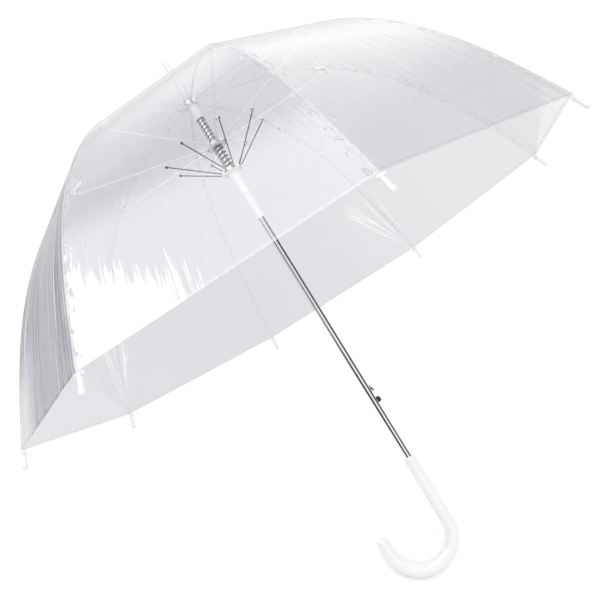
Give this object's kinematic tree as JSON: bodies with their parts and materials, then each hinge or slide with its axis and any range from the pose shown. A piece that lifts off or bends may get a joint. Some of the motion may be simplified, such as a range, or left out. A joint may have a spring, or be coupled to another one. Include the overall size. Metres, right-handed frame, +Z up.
{
  "type": "umbrella",
  "caption": "Clear dome stick umbrella, open, with folding ribs on a sliding runner, a coil spring, a catch with its release button and a hooked handle.",
  "frame": {"origin": "bottom centre of the box round the open umbrella, on the floor that it rests on", "axes": "+Z up; the umbrella rests on two rib tips and the bend of its handle, the shaft rises towards +X from the handle to the crown, and +Y runs across it"},
  "size_m": [0.6492, 0.8036, 0.662],
  "materials": {
    "shaft_chrome": "mirror bright plated steel tube",
    "white_gloss": "white moulded plastic, glossy",
    "white_handle": "white plastic, high gloss",
    "white_fibre": "white glass fibre rod, satin",
    "white_strut": "white plastic strut, satin",
    "dark_wire": "thin dark steel wire",
    "dark_steel": "dark oiled spring steel",
    "pale_coil": "thin bright wire",
    "clear_film": "clear soft film, glossy, with welded seams"
  },
  "bodies": {
    "frame": {"shaft_tube": "shaft_chrome", "ferrule": "white_gloss", "crown_notch": "white_gloss", "crown_ring": "dark_steel", "canopy_washer": "white_gloss", "canopy_film": "clear_film", "handle": "white_handle", "catch_spring": "dark_steel", "buffer_spring": "pale_coil"},
    "runner": {"runner": "white_gloss", "main_spring": "dark_steel"},
    "stretcher_hub": {"stretcher_hub": "white_gloss"},
    "catch_leaf": {"catch_leaf": "dark_steel"},
    "release_button": {"release_button": "dark_steel"},
    "rib_upper_1": {"rib_upper_1": "white_fibre"},
    "rib_lower_1": {"rib_lower_1": "white_fibre", "rib_tip_1": "white_gloss"},
    "stretcher_1": {"stretcher_1": "white_strut"},
    "link_1": {"link_1": "dark_wire"},
    "rib_upper_2": {"rib_upper_2": "white_fibre"},
    "rib_lower_2": {"rib_lower_2": "white_fibre", "rib_tip_2": "white_gloss"},
    "stretcher_2": {"stretcher_2": "white_strut"},
    "link_2": {"link_2": "dark_wire"},
    "rib_upper_3": {"rib_upper_3": "white_fibre"},
    "rib_lower_3": {"rib_lower_3": "white_fibre", "rib_tip_3": "white_gloss"},
    "stretcher_3": {"stretcher_3": "white_strut"},
    "link_3": {"link_3": "dark_wire"},
    "rib_upper_4": {"rib_upper_4": "white_fibre"},
    "rib_lower_4": {"rib_lower_4": "white_fibre", "rib_tip_4": "white_gloss"},
    "stretcher_4": {"stretcher_4": "white_strut"},
    "link_4": {"link_4": "dark_wire"},
    "rib_upper_5": {"rib_upper_5": "white_fibre"},
    "rib_lower_5": {"rib_lower_5": "white_fibre", "rib_tip_5": "white_gloss"},
    "stretcher_5": {"stretcher_5": "white_strut"},
    "link_5": {"link_5": "dark_wire"},
    "rib_upper_6": {"rib_upper_6": "white_fibre"},
    "rib_lower_6": {"rib_lower_6": "white_fibre", "rib_tip_6": "white_gloss"},
    "stretcher_6": {"stretcher_6": "white_strut"},
    "link_6": {"link_6": "dark_wire"},
    "rib_upper_7": {"rib_upper_7": "white_fibre"},
    "rib_lower_7": {"rib_lower_7": "white_fibre", "rib_tip_7": "white_gloss"},
    "stretcher_7": {"stretcher_7": "white_strut"},
    "link_7": {"link_7": "dark_wire"},
    "rib_upper_8": {"rib_upper_8": "white_fibre"},
    "rib_lower_8": {"rib_lower_8": "white_fibre", "rib_tip_8": "white_gloss"},
    "stretcher_8": {"stretcher_8": "white_strut"},
    "link_8": {"link_8": "dark_wire"}
  },
  "joints": [
    {"name": "runner_slide", "type": "slide", "parent": "frame", "child": "runner", "axis": [-0.7483, 0, -0.6634], "range_m": [0, 0.29471], "stiffness_N_per_m": 150, "springref_m": -0.1, "deforming": ["canopy_film", "main_spring"]},
    {"name": "hub_slide", "type": "slide", "parent": "frame", "child": "stretcher_hub", "axis": [-0.7483, 0, -0.6634], "range_m": [0, 0.32383]},
    {"name": "button_press", "type": "slide", "parent": "frame", "child": "release_button", "axis": [0.4361, 0.7536, -0.4919], "range_m": [0, 0.0025], "stiffness_N_per_m": 400, "springref_m": -0.002, "deforming": ["catch_spring"]},
    {"name": "catch_draw", "type": "slide", "parent": "frame", "child": "catch_leaf", "axis": [0.4361, 0.7536, -0.4919], "range_m": [0, 0.00275]},
    {"name": "rib_fold_1", "type": "hinge", "parent": "frame", "child": "rib_upper_1", "pos_m": [0.22343, 0.00364, 0.51864], "axis": [-0.2539, 0.9239, 0.2864], "range_deg": [0, 74.87]},
    {"name": "rib_flex_1", "type": "hinge", "parent": "rib_upper_1", "child": "rib_lower_1", "pos_m": [0.31473, 0.08017, 0.35264], "axis": [-0.2539, 0.9239, 0.2864], "range_deg": [-36.52, 0]},
    {"name": "stretcher_turn_1", "type": "hinge", "parent": "rib_upper_1", "child": "stretcher_1", "pos_m": [0.30907, 0.07914, 0.35094], "axis": [-0.2539, 0.9239, 0.2864], "range_deg": [-156.92, 0]},
    {"name": "link_turn_1", "type": "hinge", "parent": "stretcher_1", "child": "link_1", "pos_m": [0.21366, 0.03044, 0.42351], "axis": [-0.2539, 0.9239, 0.2864], "range_deg": [0, 32.39]},
    {"name": "rib_fold_2", "type": "hinge", "parent": "frame", "child": "rib_upper_2", "pos_m": [0.22002, 0.00878, 0.52248], "axis": [-0.6129, 0.3827, 0.6913], "range_deg": [0, 74.87]},
    {"name": "rib_flex_2", "type": "hinge", "parent": "rib_upper_2", "child": "rib_lower_2", "pos_m": [0.23952, 0.19356, 0.43749], "axis": [-0.6129, 0.3827, 0.6913], "range_deg": [-36.52, 0]},
    {"name": "stretcher_turn_2", "type": "hinge", "parent": "rib_upper_2", "child": "stretcher_2", "pos_m": [0.23482, 0.19107, 0.4347], "axis": [-0.6129, 0.3827, 0.6913], "range_deg": [-156.92, 0]},
    {"name": "link_turn_2", "type": "hinge", "parent": "stretcher_2", "child": "link_2", "pos_m": [0.18511, 0.07348, 0.45572], "axis": [-0.6129, 0.3827, 0.6913], "range_deg": [0, 32.39]},
    {"name": "rib_fold_3", "type": "hinge", "parent": "frame", "child": "rib_upper_3", "pos_m": [0.21519, 0.00878, 0.52792], "axis": [-0.6129, -0.3827, 0.6913], "range_deg": [0, 74.87]},
    {"name": "rib_flex_3", "type": "hinge", "parent": "rib_upper_3", "child": "rib_lower_3", "pos_m": [0.13315, 0.19356, 0.55747], "axis": [-0.6129, -0.3827, 0.6913], "range_deg": [-36.52, 0]},
    {"name": "stretcher_turn_3", "type": "hinge", "parent": "rib_upper_3", "child": "stretcher_3", "pos_m": [0.12982, 0.19107, 0.55314], "axis": [-0.6129, -0.3827, 0.6913], "range_deg": [-156.92, 0]},
    {"name": "link_turn_3", "type": "hinge", "parent": "stretcher_3", "child": "link_3", "pos_m": [0.14472, 0.07348, 0.50127], "axis": [-0.6129, -0.3827, 0.6913], "range_deg": [0, 32.39]},
    {"name": "rib_fold_4", "type": "hinge", "parent": "frame", "child": "rib_upper_4", "pos_m": [0.21178, 0.00364, 0.53177], "axis": [-0.2539, -0.9239, 0.2864], "range_deg": [0, 74.87]},
    {"name": "rib_flex_4", "type": "hinge", "parent": "rib_upper_4", "child": "rib_lower_4", "pos_m": [0.05793, 0.08017, 0.64232], "axis": [-0.2539, -0.9239, 0.2864], "range_deg": [-36.52, 0]},
    {"name": "stretcher_turn_4", "type": "hinge", "parent": "rib_upper_4", "child": "stretcher_4", "pos_m": [0.05557, 0.07914, 0.6369], "axis": [-0.2539, -0.9239, 0.2864], "range_deg": [-156.92, 0]},
    {"name": "link_turn_4", "type": "hinge", "parent": "stretcher_4", "child": "link_4", "pos_m": [0.11617, 0.03044, 0.53348], "axis": [-0.2539, -0.9239, 0.2864], "range_deg": [0, 32.39]},
    {"name": "rib_fold_5", "type": "hinge", "parent": "frame", "child": "rib_upper_5", "pos_m": [0.21178, -0.00364, 0.53177], "axis": [0.2539, -0.9239, -0.2864], "range_deg": [0, 74.87]},
    {"name": "rib_flex_5", "type": "hinge", "parent": "rib_upper_5", "child": "rib_lower_5", "pos_m": [0.05793, -0.08017, 0.64232], "axis": [0.2539, -0.9239, -0.2864], "range_deg": [-36.52, 0]},
    {"name": "stretcher_turn_5", "type": "hinge", "parent": "rib_upper_5", "child": "stretcher_5", "pos_m": [0.05557, -0.07914, 0.6369], "axis": [0.2539, -0.9239, -0.2864], "range_deg": [-156.92, 0]},
    {"name": "link_turn_5", "type": "hinge", "parent": "stretcher_5", "child": "link_5", "pos_m": [0.11617, -0.03044, 0.53348], "axis": [0.2539, -0.9239, -0.2864], "range_deg": [0, 32.39]},
    {"name": "rib_fold_6", "type": "hinge", "parent": "frame", "child": "rib_upper_6", "pos_m": [0.21519, -0.00878, 0.52792], "axis": [0.6129, -0.3827, -0.6913], "range_deg": [0, 74.87]},
    {"name": "rib_flex_6", "type": "hinge", "parent": "rib_upper_6", "child": "rib_lower_6", "pos_m": [0.13315, -0.19356, 0.55747], "axis": [0.6129, -0.3827, -0.6913], "range_deg": [-36.52, 0]},
    {"name": "stretcher_turn_6", "type": "hinge", "parent": "rib_upper_6", "child": "stretcher_6", "pos_m": [0.12982, -0.19107, 0.55314], "axis": [0.6129, -0.3827, -0.6913], "range_deg": [-156.92, 0]},
    {"name": "link_turn_6", "type": "hinge", "parent": "stretcher_6", "child": "link_6", "pos_m": [0.14472, -0.07348, 0.50127], "axis": [0.6129, -0.3827, -0.6913], "range_deg": [0, 32.39]},
    {"name": "rib_fold_7", "type": "hinge", "parent": "frame", "child": "rib_upper_7", "pos_m": [0.22002, -0.00878, 0.52248], "axis": [0.6129, 0.3827, -0.6913], "range_deg": [0, 74.87]},
    {"name": "rib_flex_7", "type": "hinge", "parent": "rib_upper_7", "child": "rib_lower_7", "pos_m": [0.23952, -0.19356, 0.43749], "axis": [0.6129, 0.3827, -0.6913], "range_deg": [-36.52, 0]},
    {"name": "stretcher_turn_7", "type": "hinge", "parent": "rib_upper_7", "child": "stretcher_7", "pos_m": [0.23482, -0.19107, 0.4347], "axis": [0.6129, 0.3827, -0.6913], "range_deg": [-156.92, 0]},
    {"name": "link_turn_7", "type": "hinge", "parent": "stretcher_7", "child": "link_7", "pos_m": [0.18511, -0.07348, 0.45572], "axis": [0.6129, 0.3827, -0.6913], "range_deg": [0, 32.39]},
    {"name": "rib_fold_8", "type": "hinge", "parent": "frame", "child": "rib_upper_8", "pos_m": [0.22343, -0.00364, 0.51864], "axis": [0.2539, 0.9239, -0.2864], "range_deg": [0, 74.87]},
    {"name": "rib_flex_8", "type": "hinge", "parent": "rib_upper_8", "child": "rib_lower_8", "pos_m": [0.31473, -0.08017, 0.35264], "axis": [0.2539, 0.9239, -0.2864], "range_deg": [-36.52, 0]},
    {"name": "stretcher_turn_8", "type": "hinge", "parent": "rib_upper_8", "child": "stretcher_8", "pos_m": [0.30907, -0.07914, 0.35094], "axis": [0.2539, 0.9239, -0.2864], "range_deg": [-156.92, 0]},
    {"name": "link_turn_8", "type": "hinge", "parent": "stretcher_8", "child": "link_8", "pos_m": [0.21366, -0.03044, 0.42351], "axis": [0.2539, 0.9239, -0.2864], "range_deg": [0, 32.39]}
  ],
  "couplings": [
    {"joint": "hub_slide", "follows": "runner_slide", "ratio": 1.0988},
    {"joint": "catch_draw", "follows": "button_press", "ratio": 1.1},
    {"joint": "rib_fold_1", "follows": "runner_slide", "rad_per_m": 4.4335},
    {"joint": "rib_flex_1", "follows": "runner_slide", "rad_per_m": -2.1622},
    {"joint": "stretcher_turn_1", "follows": "runner_slide", "rad_per_m": -9.2927},
    {"joint": "link_turn_1", "follows": "runner_slide", "rad_per_m": 1.918},
    {"joint": "rib_fold_2", "follows": "runner_slide", "rad_per_m": 4.4335},
    {"joint": "rib_flex_2", "follows": "runner_slide", "rad_per_m": -2.1622},
    {"joint": "stretcher_turn_2", "follows": "runner_slide", "rad_per_m": -9.2927},
    {"joint": "link_turn_2", "follows": "runner_slide", "rad_per_m": 1.918},
    {"joint": "rib_fold_3", "follows": "runner_slide", "rad_per_m": 4.4335},
    {"joint": "rib_flex_3", "follows": "runner_slide", "rad_per_m": -2.1622},
    {"joint": "stretcher_turn_3", "follows": "runner_slide", "rad_per_m": -9.2927},
    {"joint": "link_turn_3", "follows": "runner_slide", "rad_per_m": 1.918},
    {"joint": "rib_fold_4", "follows": "runner_slide", "rad_per_m": 4.4335},
    {"joint": "rib_flex_4", "follows": "runner_slide", "rad_per_m": -2.1622},
    {"joint": "stretcher_turn_4", "follows": "runner_slide", "rad_per_m": -9.2927},
    {"joint": "link_turn_4", "follows": "runner_slide", "rad_per_m": 1.918},
    {"joint": "rib_fold_5", "follows": "runner_slide", "rad_per_m": 4.4335},
    {"joint": "rib_flex_5", "follows": "runner_slide", "rad_per_m": -2.1622},
    {"joint": "stretcher_turn_5", "follows": "runner_slide", "rad_per_m": -9.2927},
    {"joint": "link_turn_5", "follows": "runner_slide", "rad_per_m": 1.918},
    {"joint": "rib_fold_6", "follows": "runner_slide", "rad_per_m": 4.4335},
    {"joint": "rib_flex_6", "follows": "runner_slide", "rad_per_m": -2.1622},
    {"joint": "stretcher_turn_6", "follows": "runner_slide", "rad_per_m": -9.2927},
    {"joint": "link_turn_6", "follows": "runner_slide", "rad_per_m": 1.918},
    {"joint": "rib_fold_7", "follows": "runner_slide", "rad_per_m": 4.4335},
    {"joint": "rib_flex_7", "follows": "runner_slide", "rad_per_m": -2.1622},
    {"joint": "stretcher_turn_7", "follows": "runner_slide", "rad_per_m": -9.2927},
    {"joint": "link_turn_7", "follows": "runner_slide", "rad_per_m": 1.918},
    {"joint": "rib_fold_8", "follows": "runner_slide", "rad_per_m": 4.4335},
    {"joint": "rib_flex_8", "follows": "runner_slide", "rad_per_m": -2.1622},
    {"joint": "stretcher_turn_8", "follows": "runner_slide", "rad_per_m": -9.2927},
    {"joint": "link_turn_8", "follows": "runner_slide", "rad_per_m": 1.918}
  ]
}
